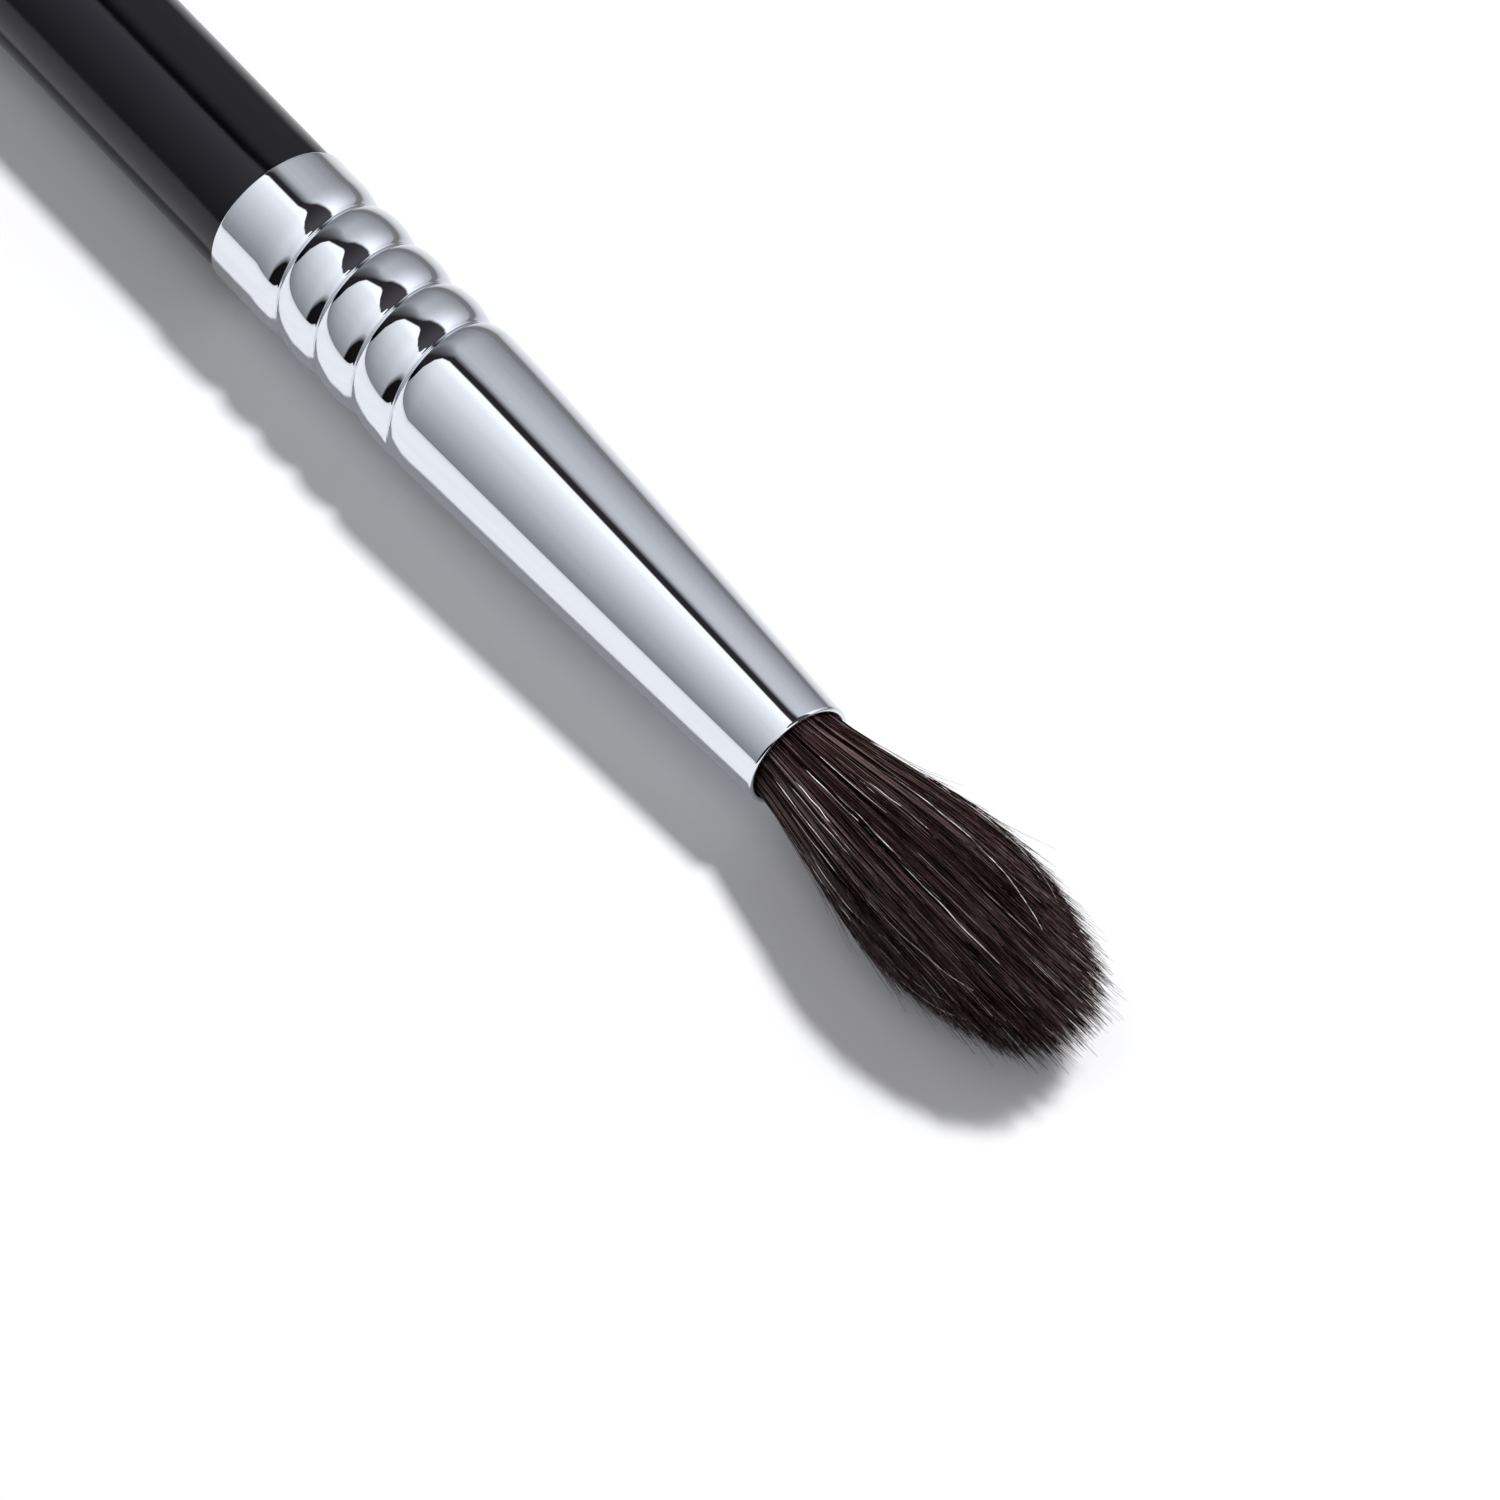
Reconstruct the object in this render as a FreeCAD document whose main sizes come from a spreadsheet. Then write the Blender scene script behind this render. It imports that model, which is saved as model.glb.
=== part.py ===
import FreeCAD, Part
import math
import os
import Sketcher
from FreeCAD import Vector

# Eyeshadow brush, in millimetres. It lies along X with the tuft towards +X and rests on z = 0.
# The origin is under the middle of its length. Every round piece is drawn as a half section, where
# x runs along the brush and y is the radius, and is turned about the brush's centre line.

# Driving dimensions
brush_sizes = {
    # handle, turned wood
    "tail_length": 64.0,           # straight taper, to the tip of the round tail
    "sweep_length": 30.0,          # gentle curve from the taper into the grip
    "grip_length": 22.0,           # straight run behind the ferrule
    "tail_radius": 2.1,            # round end of the handle
    "collar_step": 0.16,           # how far the ferrule's collar stands proud of the grip
    "shoulder_chamfer": 0.12,      # broken edge where the handle meets the ferrule
    "spigot_reach": 3.2,           # handle's spigot past the end of the ferrule's groove
    "spigot_chamfer": 0.6,         # lead-in at the spigot's end
    # ferrule, drawn and rolled tube
    "ferrule_diameter": 8.0,
    "ferrule_wall": 0.35,
    "collar_chamfer": 0.08,        # broken edge at the back of the collar
    "collar_length": 3.016,        # back edge to where the groove reaches its full depth
    "groove_bearing": -115.0,      # degrees from the top, towards the front, of that place
    "groove_pitch": 2.95,
    "groove_turns": 3,             # whole turns at full depth, and half a turn more
    "groove_depth": 0.42,          # ridge's crest to the groove's bottom
    "run_out": 0.15,               # turns in which the groove fades at each end
    "vee_width": 0.3,              # steep-sided bottom of the groove
    "ridge_round": 3.4,            # radius of the ridge's back between two turns
    "crest_skim": 0.02,            # how much of that round the tube's own size cuts off
    "overcut": 0.1,                # how far a rolled profile reaches past the wall, and its gap to the next
    "ridge_land": 1.55,            # straight run of the bore between two turns
    "taper_length": 26.559,        # end of the full groove to the mouth
    "mouth_diameter": 5.7,
    "lip_land": 0.07,              # flat left between the lip's two broken edges
    # tuft of filaments
    "flare_length": 6.3,           # straight flare from the mouth
    "swell_length": 5.0,           # round swell from the flare to the belly
    "nose_length": 7.7,            # belly to tip
    "belly_growth": 1.7,           # how much the belly stands out past the roots
    "tip_radius": 3.2,             # blunt round tip
    "root_length": 11.0,           # filaments inside the ferrule
    "hair_clearance": 0.05,        # between the filaments and the bore at the mouth
    # thread tied round the roots
    "thread_diameter": 0.3,
    "thread_turns": 8,             # laid side by side
    "tie_offset": 2.0,             # root ends to the tied band
    "tie_squeeze": 0.2,            # how deep the thread draws the roots in
    # resin and glue
    "resin_pool": 1.8,             # resin behind the root ends
    "resin_setback": 4.0,          # front of the resin to the mouth
    "glue_film": 0.08,             # glue between the spigot and the ferrule
}

doc = FreeCAD.newDocument("EyeshadowBrush")
sheet = doc.addObject("Spreadsheet::Sheet", "Sizes")
for row, (alias, size) in enumerate(brush_sizes.items(), start=1):
    sheet.set(f"A{row}", alias)
    sheet.set(f"B{row}", str(size))
    sheet.setAlias(f"B{row}", alias)
doc.recompute()

# Sizes that follow from the driving ones, as expressions on the sheet
ferrule_radius = "Sizes.ferrule_diameter / 2"
bore_radius = f"({ferrule_radius} - Sizes.ferrule_wall)"
half_pitch = "Sizes.groove_pitch / 2"
half_vee = "Sizes.vee_width / 2"
flank = "(Sizes.groove_pitch - Sizes.ridge_land) / 2"
full_turns = "(round(Sizes.groove_turns) + 0.5)"
groove_start = "Sizes.collar_length"
groove_end = f"({groove_start} + {full_turns} * Sizes.groove_pitch)"
ferrule_length = f"({groove_end} + Sizes.taper_length)"
mouth_radius = "Sizes.mouth_diameter / 2"
mouth_bore = f"({mouth_radius} - Sizes.ferrule_wall)"
lip_chamfer = "(Sizes.ferrule_wall - Sizes.lip_land) / 2"
grip_radius = f"({ferrule_radius} - Sizes.collar_step)"
handle_length = "(Sizes.tail_length + Sizes.sweep_length + Sizes.grip_length)"
seat_length = f"({groove_start} - {flank} - Sizes.groove_depth - Sizes.glue_film)"
seat_radius = f"({bore_radius} - Sizes.glue_film)"
spigot_radius = f"({seat_radius} - Sizes.groove_depth)"
spigot_length = f"({groove_end} + Sizes.spigot_reach)"
root_radius = f"({mouth_bore} - Sizes.hair_clearance)"
waist_radius = f"({root_radius} - Sizes.tie_squeeze)"
tie_width = "(Sizes.thread_turns * Sizes.thread_diameter)"
tie_radius = f"({waist_radius} + Sizes.thread_diameter)"
tuft_radius = f"({root_radius} + Sizes.belly_growth)"
tuft_length = "(Sizes.flare_length + Sizes.swell_length + Sizes.nose_length)"

# Places along the brush, measured from the origin
tail_place = f"-({handle_length} + {ferrule_length} + {tuft_length}) / 2"
ferrule_place = f"{tail_place} + {handle_length}"
root_place = f"{ferrule_place} + {ferrule_length} - Sizes.root_length"
tie_place = f"{root_place} + Sizes.tie_offset"
axis_height = f"max({tuft_radius}; {ferrule_radius})"


def number(expression):
    return float(sheet.evalExpression(expression))


def place(piece, along):
    piece.setExpression("Placement.Base.x", along)
    piece.setExpression("Placement.Base.z", axis_height)


class Section:
    # A closed half section in a body's XZ plane, drawn corner by corner. A corner is a pair of
    # expressions, and a coordinate that is None is left to the tangents beside it, from a guess.

    def __init__(self, body, name, x, y):
        plane = next(f for f in body.Origin.OriginFeatures if f.Role == "XZ_Plane")
        self.sketch = body.newObject("Sketcher::SketchObject", name)
        self.sketch.AttachmentSupport = [(plane, "")]
        self.sketch.MapMode = "FlatFace"
        self.edges = []            # geometry number, its start and end, tangent to the edge before
        self.corners = [(x, y)]
        self.here = Vector(number(x), number(y), 0)

    def corner(self, x, y, guess):
        self.corners.append((x, y))
        return Vector(
            guess[0] if x is None else number(x),
            guess[1] if y is None else number(y),
            0,
        )

    def line(self, x, y, guess=None, smooth=False):
        there = self.corner(x, y, guess)
        geometry = self.sketch.addGeometry(Part.LineSegment(self.here, there))
        self.edges.append((geometry, 1, 2, smooth))
        self.here = there
        return geometry

    def arc(self, x, y, radius, guess=None, smooth=False):
        # Bulges away from the brush's centre line. Its radius is an expression, or a plain guess
        # where the tangents settle it. It is kept anticlockwise, so its own end is where it starts.
        there = self.corner(x, y, guess)
        size = number(radius) if isinstance(radius, str) else radius
        chord = there - self.here
        rise = math.sqrt(max(size**2 - chord.Length**2 / 4, 0))
        inward = Vector(chord.y, -chord.x, 0).normalize()
        centre = (self.here + there) / 2 + inward * rise
        angles = [math.atan2(p.y - centre.y, p.x - centre.x) for p in (there, self.here)]
        circle = Part.Circle(centre, Vector(0, 0, 1), size)
        geometry = self.sketch.addGeometry(Part.ArcOfCircle(circle, *angles))
        self.edges.append((geometry, 2, 1, smooth))
        if isinstance(radius, str):
            self.hold("Radius", f"radius_{geometry}", radius, geometry, size)
        self.here = there
        return geometry

    def hold(self, kind, name, expression, *where):
        index = self.sketch.addConstraint(Sketcher.Constraint(kind, *where))
        self.sketch.renameConstraint(index, name)
        self.sketch.setExpression(f"Constraints.{name}", expression)

    def centre_under(self, geometry, corner_edge):
        # The arc's centre lies square below the far end of an edge
        _, _, end, _ = next(e for e in self.edges if e[0] == corner_edge)
        self.sketch.addConstraint(Sketcher.Constraint("Vertical", geometry, 3, corner_edge, end))

    def centre_on_axis(self, geometry):
        self.sketch.addConstraint(Sketcher.Constraint("PointOnObject", geometry, 3, -1))

    def close(self):
        # The last edge runs back to the first corner, and then every corner is joined and pinned
        self.line(*self.corners[0])
        for n, (geometry, start, _, smooth) in enumerate(self.edges):
            before, _, end_before, _ = self.edges[n - 1]
            kind = "Tangent" if smooth else "Coincident"
            joint = Sketcher.Constraint(kind, before, end_before, geometry, start)
            self.sketch.addConstraint(joint)
            self.pin(geometry, start, n, *self.corners[n])
        if self.sketch.solve() != 0:
            raise RuntimeError(f"{self.sketch.Label} can't be solved")
        return self.sketch

    def pin(self, geometry, end, n, x, y):
        origin = (-1, 1)
        for kind, axis, name, value in (
            ("DistanceX", -2, f"along_{n}", x),
            ("DistanceY", -1, f"out_{n}", y),
        ):
            if value == "0":
                rest = Sketcher.Constraint("PointOnObject", geometry, end, axis)
                self.sketch.addConstraint(rest)
            elif value is not None:
                self.hold(kind, name, value, *origin, geometry, end, number(value))


def turned(name, section, along):
    body = doc.addObject("PartDesign::Body", name)
    place(body, along)
    sketch = section(body, f"{name}_section")
    revolve = body.newObject("PartDesign::Revolution", f"{name}_turned")
    revolve.Profile = sketch
    revolve.ReferenceAxis = (sketch, ["H_Axis"])
    revolve.Angle = 360
    return body


def handle_section(body, name):
    sweep_back = "Sizes.tail_length"
    grip_back = f"{sweep_back} + Sizes.sweep_length"
    shoulder = handle_length
    seat_end = f"{shoulder} + {seat_length}"
    spigot_end = f"{shoulder} + {spigot_length}"
    narrow = number(grip_radius) - number("Sizes.tail_radius")
    taper_run = number(sweep_back) + number("Sizes.sweep_length") / 2 - number("Sizes.tail_radius")
    lean = math.atan(narrow / taper_run)
    sweep_radius = number("Sizes.sweep_length") / math.sin(lean)
    sweep_out = number(grip_radius) - sweep_radius * (1 - math.cos(lean))
    tail_meets = (
        number("Sizes.tail_radius") * (1 - math.sin(lean)),
        number("Sizes.tail_radius") * math.cos(lean),
    )
    section = Section(body, name, "0", "0")
    tail = section.arc(None, None, "Sizes.tail_radius", guess=tail_meets)
    section.line(sweep_back, None, guess=(0, sweep_out), smooth=True)
    section.arc(grip_back, grip_radius, sweep_radius, smooth=True)
    section.line(f"{shoulder} - Sizes.shoulder_chamfer", grip_radius, smooth=True)
    section.line(shoulder, f"{grip_radius} - Sizes.shoulder_chamfer")
    section.line(shoulder, seat_radius)
    section.line(seat_end, seat_radius)
    section.line(f"{seat_end} + Sizes.groove_depth", spigot_radius)
    section.line(f"{spigot_end} - Sizes.spigot_chamfer", spigot_radius)
    section.line(spigot_end, f"{spigot_radius} - Sizes.spigot_chamfer")
    section.line(spigot_end, "0")
    section.centre_on_axis(tail)
    return section.close()


def ferrule_section(body, name):
    section = Section(body, name, "0", "0")
    section.line("0", f"{ferrule_radius} - Sizes.collar_chamfer")
    section.line("Sizes.collar_chamfer", ferrule_radius)
    section.line(f"{groove_end} + {half_pitch}", ferrule_radius)
    section.line(f"{ferrule_length} - {lip_chamfer}", mouth_radius)
    section.line(ferrule_length, f"{mouth_radius} - {lip_chamfer}")
    section.line(ferrule_length, "0")
    return section.close()


def bore_section(body, name):
    section = Section(body, name, "0", "0")
    section.line("0", bore_radius)
    section.line(f"{groove_end} + {half_pitch}", bore_radius)
    section.line(f"{ferrule_length} - {lip_chamfer}", mouth_bore)
    section.line(ferrule_length, f"{mouth_bore} + {lip_chamfer}")
    section.line(ferrule_length, "0")
    return section.close()


def groove_profile(body, name, middle, side):
    # What is rolled away between two crests: the ridge's round back falls from each crest, and a steep
    # vee makes the groove's bottom. The round stands a little over the tube at the crest, where it would
    # meet the next turn. The profile is the same after half a turn, so that side -1 draws it below the axis.
    def back(from_crest):
        over = f"{ferrule_radius} + Sizes.crest_skim"
        return f"{over} - Sizes.ridge_round + sqrt(Sizes.ridge_round^2 - ({from_crest})^2)"

    wide = f"{side} * ({half_pitch} - Sizes.overcut)"
    narrow = f"{side} * {half_vee}"
    rim = f"{side} * ({ferrule_radius} + Sizes.overcut)"
    crest = f"{side} * ({back('Sizes.overcut')})"
    vee_top = f"{side} * ({back(f'{half_pitch} - {half_vee}')})"
    bottom = f"{side} * ({ferrule_radius} - Sizes.groove_depth)"
    section = Section(body, name, f"{middle} - {wide}", rim)
    section.line(f"{middle} - {wide}", crest)
    section.arc(f"{middle} - {narrow}", vee_top, "Sizes.ridge_round")
    section.line(middle, bottom)
    section.line(f"{middle} + {narrow}", vee_top)
    section.arc(f"{middle} + {wide}", crest, "Sizes.ridge_round")
    section.line(f"{middle} + {wide}", rim)
    return section.close()


def ridge_profile(body, name, middle, side):
    # The groove pushes a ridge into the bore, about one wall thickness in from the outside
    wide = f"{side} * ({flank}) * (1 + Sizes.overcut / Sizes.groove_depth)"
    rim = f"{side} * ({bore_radius} + Sizes.overcut)"
    section = Section(body, name, f"{middle} - {wide}", rim)
    section.line(middle, f"{side} * ({bore_radius} - Sizes.groove_depth)")
    section.line(f"{middle} + {wide}", rim)
    return section.close()


def roll(body, name, profile):
    # One right-handed groove at its full depth, and a short climb out of the tube at each end. The full
    # groove ends half a turn on from where it starts, on the other side of the axis.
    climb = "(Sizes.groove_depth + 2 * Sizes.crest_skim) / Sizes.run_out"
    body.Placement.Rotation = FreeCAD.Rotation(Vector(1, 0, 0), brush_sizes["groove_bearing"])
    for stretch, middle, side, turns, growth, backwards in (
        ("full", groove_start, 1, full_turns, "0", False),
        ("run_in", groove_start, 1, "Sizes.run_out", climb, True),
        ("run_out", groove_end, -1, "Sizes.run_out", climb, False),
    ):
        sketch = profile(body, f"{name}_{stretch}_section", middle, side)
        helix = body.newObject("PartDesign::SubtractiveHelix", f"{name}_{stretch}")
        helix.Profile = sketch
        helix.ReferenceAxis = (sketch, ["H_Axis"])
        helix.Mode = "height-turns-growth"
        helix.setExpression("Turns", turns)
        helix.setExpression("Height", f"{turns} * Sizes.groove_pitch")
        helix.setExpression("Growth", growth)
        helix.Reversed = backwards


def tuft_section(body, name):
    mouth = "Sizes.root_length"
    flare_end = f"{mouth} + Sizes.flare_length"
    belly = f"{flare_end} + Sizes.swell_length"
    tie_end = f"Sizes.tie_offset + {tie_width}"
    wide = number(tuft_radius)
    grown = wide - number(root_radius)
    slope = grown / (number("Sizes.flare_length") + number("Sizes.swell_length") / 2)
    flare_out = number(root_radius) + slope * number("Sizes.flare_length")
    swell_radius = number("Sizes.swell_length") / slope
    # The nose's long arc is level at the belly and meets the round tip where both have one tangent
    tip = number("Sizes.tip_radius")
    ahead = number("Sizes.nose_length") - tip
    nose_radius = (ahead**2 + wide**2 - tip**2) / (2 * (wide - tip))
    share = tip / (nose_radius - tip)
    nose_meets = (number(belly) + ahead * (1 + share), share * (nose_radius - wide))
    section = Section(body, name, "0", "0")
    section.line("0", root_radius)
    section.line("Sizes.tie_offset", root_radius)
    section.line("Sizes.tie_offset", waist_radius)
    section.line(tie_end, waist_radius)
    section.line(tie_end, root_radius)
    section.line(mouth, root_radius)
    section.line(flare_end, None, guess=(0, flare_out))
    swell = section.arc(belly, tuft_radius, swell_radius, smooth=True)
    nose = section.arc(None, None, nose_radius, guess=nose_meets, smooth=True)
    end = section.arc(f"{mouth} + {tuft_length}", "0", "Sizes.tip_radius", smooth=True)
    section.centre_under(nose, swell)
    section.centre_on_axis(end)
    return section.close()


def tie_section(body, name):
    # The turns lie side by side, so the band is as wide as they are and one thread thick
    section = Section(body, name, "0", waist_radius)
    section.line("0", tie_radius)
    section.line(tie_width, tie_radius)
    section.line(tie_width, waist_radius)
    return section.close()


def rod(name, along, length, radius):
    cylinder = doc.addObject("Part::Cylinder", name)
    cylinder.Placement.Rotation = FreeCAD.Rotation(Vector(0, 1, 0), 90)
    cylinder.setExpression("Radius", radius)
    cylinder.setExpression("Height", length)
    place(cylinder, along)
    return cylinder


def combined(kind, name, base, tool):
    result = doc.addObject(f"Part::{kind}", name)
    result.Base = base
    result.Tool = tool
    return result


# Handle, with its shoulder against the ferrule's back edge
handle = turned("handle", handle_section, tail_place)

# Ferrule: the tube with its rolled spiral groove, less the bore with the ridge that the groove makes in
# it. The bore is also what the glue and resin fill.
outside = turned("ferrule_outside", ferrule_section, ferrule_place)
roll(outside, "groove", groove_profile)
bore = turned("ferrule_bore", bore_section, ferrule_place)
roll(bore, "ridge", ridge_profile)
ferrule = combined("Cut", "ferrule", outside, bore)

# Tuft: one bundle from the root ends to the tip, drawn in where the thread ties it
hair_tuft = turned("hair_tuft", tuft_section, root_place)
tie_thread = turned("tie_thread", tie_section, tie_place)

# Glue round the spigot, from the ferrule's back edge to where the bore's ridge begins
glue_length = f"{seat_length} + Sizes.groove_depth"
glue_room = rod("glue_room", ferrule_place, glue_length, ferrule_radius)
glue_cast = combined("Common", "glue_cast", bore, glue_room)
tenon_glue = combined("Cut", "tenon_glue", glue_cast, handle)

# Resin round the roots, with room left for the thread
resin_place = f"{root_place} - Sizes.resin_pool"
resin_length = "Sizes.resin_pool + Sizes.root_length - Sizes.resin_setback"
resin_room = rod("resin_room", resin_place, resin_length, ferrule_radius)
resin_cast = combined("Common", "resin_cast", bore, resin_room)
tie_room = rod("tie_room", tie_place, tie_width, tie_radius)
resin_core = combined("Fuse", "resin_core", hair_tuft, tie_room)
root_resin = combined("Cut", "root_resin", resin_cast, resin_core)

doc.recompute()

pieces = [handle, ferrule, hair_tuft, tie_thread, root_resin, tenon_glue]
for item in doc.Objects:
    if {"Invalid", "Error"} & set(item.State):
        raise RuntimeError(f"{item.Label} failed: {item.State}")
for piece in pieces:
    if piece.Shape.isNull() or not piece.Shape.isValid():
        raise RuntimeError(f"{piece.Label} has no valid shape")
    if len(piece.Shape.Solids) != 1:
        raise RuntimeError(f"{piece.Label} has {len(piece.Shape.Solids)} solids")

os.makedirs("parts", exist_ok=True)
for piece in pieces:
    piece.Shape.exportStep(f"parts/{piece.Label}.step")
    box = piece.Shape.optimalBoundingBox()
    print(
        f"{piece.Label}: {piece.Shape.Volume:.2f} mm3, x {box.XMin:.2f} to {box.XMax:.2f},"
        f" z {box.ZMin:.2f} to {box.ZMax:.2f}"
    )
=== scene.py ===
import math
import bpy
import numpy as np
from mathutils import Matrix, Vector


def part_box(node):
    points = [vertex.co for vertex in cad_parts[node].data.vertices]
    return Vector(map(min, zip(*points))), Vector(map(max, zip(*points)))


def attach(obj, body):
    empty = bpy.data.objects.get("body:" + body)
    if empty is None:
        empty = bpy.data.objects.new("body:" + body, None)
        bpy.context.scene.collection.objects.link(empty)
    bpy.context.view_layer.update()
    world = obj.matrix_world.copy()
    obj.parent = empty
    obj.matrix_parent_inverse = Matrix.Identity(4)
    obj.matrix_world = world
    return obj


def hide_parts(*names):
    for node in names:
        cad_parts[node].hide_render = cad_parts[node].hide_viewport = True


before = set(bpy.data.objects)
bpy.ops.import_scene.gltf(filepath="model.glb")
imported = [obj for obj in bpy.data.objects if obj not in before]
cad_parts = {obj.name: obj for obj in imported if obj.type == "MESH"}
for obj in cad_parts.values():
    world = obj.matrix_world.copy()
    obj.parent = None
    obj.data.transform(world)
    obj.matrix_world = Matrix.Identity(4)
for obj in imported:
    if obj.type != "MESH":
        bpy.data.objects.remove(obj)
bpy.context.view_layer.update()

mm = 0.001

# The solids give the places: the ferrule's back edge and mouth, and the height of the centre line
ferruleLow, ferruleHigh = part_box("ferrule")
handleLow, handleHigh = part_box("handle")
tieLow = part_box("tie_thread")[0]
backEdge = ferruleLow.x
mouth = ferruleHigh.x
axisHeight = (ferruleLow.z + ferruleHigh.z) / 2
print("frame loaded:", len(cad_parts), "solids, mouth at", round(mouth / mm, 2), "mm")


# Meshes

def putMesh(name, points, quads, triangles, material):
    # A mesh from whole arrays: points (n, 3), four-sided and three-sided faces by point number
    mesh = bpy.data.meshes.new(name)
    corners = np.concatenate([quads.ravel(), triangles.ravel()]).astype(np.int32)
    sizes = np.concatenate([np.full(len(quads), 4), np.full(len(triangles), 3)]).astype(np.int32)
    starts = np.concatenate([[0], np.cumsum(sizes)[:-1]]).astype(np.int32)
    mesh.vertices.add(len(points))
    mesh.vertices.foreach_set("co", points.astype(np.float32).ravel())
    mesh.loops.add(len(corners))
    mesh.loops.foreach_set("vertex_index", corners)
    mesh.polygons.add(len(sizes))
    mesh.polygons.foreach_set("loop_start", starts)
    mesh.polygons.foreach_set("use_smooth", np.ones(len(sizes), bool))
    mesh.update(calc_edges=True)
    mesh.validate()
    mesh.materials.append(material)
    piece = bpy.data.objects.new(name, mesh)
    bpy.context.scene.collection.objects.link(piece)
    return piece


def turnedPoints(along, out, sides, first=0.0):
    # Round the centre line: x = along, y = out * cos(angle), z = axis height + out * sin(angle). Along and
    # out have a value for each row, or for each row and column.
    angle = first + np.linspace(0, 2 * np.pi, sides, endpoint=False)
    x = along.reshape(len(along), -1) + 0 * angle
    out = out.reshape(len(out), -1)
    return np.stack([x, out * np.cos(angle), axisHeight + out * np.sin(angle)], axis=-1)


def gridQuads(rows, columns):
    # Faces of a grid whose columns run on round
    row = np.arange(rows - 1)[:, None] * columns
    column = np.arange(columns)[None, :]
    onward = (column + 1) % columns
    return np.stack([row + column, row + onward, row + columns + onward, row + columns + column],
                    axis=-1).reshape(-1, 4)


def stripQuads(rows, columns, step):
    # Faces of a wound strip: past its last column a row runs on into the row that many steps further
    row = np.arange(rows - 1)[:, None]
    column = np.arange(columns)[None, :]
    onward = (row + step * ((column + 1) // columns)) * columns + (column + 1) % columns
    here = row * columns + column
    quads = np.stack([here, onward, onward + columns, here + columns], axis=-1).reshape(-1, 4)
    return quads[quads.max(axis=1) < rows * columns]


def endFans(ringPoints, sides):
    # Triangles that close both ends of a run of rings. The two middles follow the rings' points.
    column = np.arange(sides)
    onward = (column + 1) % sides
    lastRing = ringPoints - sides
    backFan = np.stack([np.full(sides, ringPoints), onward, column], axis=-1)
    frontFan = np.stack([np.full(sides, ringPoints + 1), lastRing + column, lastRing + onward], axis=-1)
    return np.concatenate([backFan, frontFan])


def turnedRod(name, along, out, sides, material):
    # A profile from pole to pole: whole rings between them, and a fan of triangles at each end
    rings = turnedPoints(along[1:-1], out[1:-1], sides).reshape(-1, 3)
    poles = np.array([[along[0], 0, axisHeight], [along[-1], 0, axisHeight]])
    quads = gridQuads(len(along) - 2, sides)
    return putMesh(name, np.concatenate([rings, poles]), quads, endFans(len(rings), sides), material)


def arc(centre, radius, start, end, count):
    # Points on a circle in the half section, angles in degrees from the brush's direction
    angle = np.radians(np.linspace(start, end, count))
    return centre[0] + radius * np.cos(angle), centre[1] + radius * np.sin(angle)


def joined(*runs):
    # One profile from runs of (along, out)
    return np.concatenate([r[0] for r in runs]), np.concatenate([r[1] for r in runs])


def straight(start, end, count):
    # Points of the half section evenly along a line: start + (end - start) * share
    return np.linspace(start[0], end[0], count), np.linspace(start[1], end[1], count)


# Materials

def newMaterial(name):
    material = bpy.data.materials.new(name)
    material.use_nodes = True
    tree = material.node_tree
    shader = tree.nodes["Principled BSDF"]
    return material, tree, shader


def addNode(tree, kind, values=None, **settings):
    node = tree.nodes.new(kind)
    for key, value in settings.items():
        setattr(node, key, value)
    for socket, value in (values or {}).items():
        node.inputs[socket].default_value = value
    return node


def setRamp(node, stops):
    # Stops are (place, colour), from left to right
    ramp = node.color_ramp
    while len(ramp.elements) > 1:
        ramp.elements.remove(ramp.elements[-1])
    ramp.elements[0].position = stops[0][0]
    ramp.elements[0].color = (*stops[0][1], 1)
    for place, colour in stops[1:]:
        ramp.elements.new(place).color = (*colour, 1)


def calc(tree, operation, *inputs):
    # A math node on sockets and plain numbers
    node = addNode(tree, "ShaderNodeMath", operation=operation)
    for n, value in enumerate(inputs):
        if isinstance(value, (int, float)):
            node.inputs[n].default_value = value
        else:
            tree.links.new(value, node.inputs[n])
    return node.outputs["Value"]


def between(tree, value, low, high, toLow=0.0, toHigh=1.0):
    # A straight climb from one value to another, level outside
    node = addNode(tree, "ShaderNodeMapRange", {"From Min": low, "From Max": high})
    node.inputs["To Min"].default_value = toLow
    node.inputs["To Max"].default_value = toHigh
    tree.links.new(value, node.inputs["Value"])
    return node.outputs["Result"]


def follow(tree, value, stops):
    # A value that follows stops of (place, level) in straight lines, level outside: a ramp from 0 to 1
    first, last = stops[0][0], stops[-1][0]
    low = min(level for _, level in stops)
    high = max(level for _, level in stops)
    ramp = addNode(tree, "ShaderNodeValToRGB")
    setRamp(ramp, [((place - first) / (last - first), [(level - low) / (high - low)] * 3)
                   for place, level in stops])
    tree.links.new(between(tree, value, first, last), ramp.inputs["Fac"])
    return between(tree, ramp.outputs["Color"], 0.0, 1.0, low, high)


lacquerLook = {
    "dark": (0.0007, 0.0006, 0.0009),
    "light": (0.0016, 0.0014, 0.0019),
    "roughness": (0.10, 0.14),
    "ior": 1.40,
    "sheen": (1.0, 0.95, 1.14),   # the gloss's faint violet
    "mottle": 260,            # noise per metre
    "peel": 1400,             # orange peel of the sprayed lacquer, per metre
    "peelDepth": 0.03,
}


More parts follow.
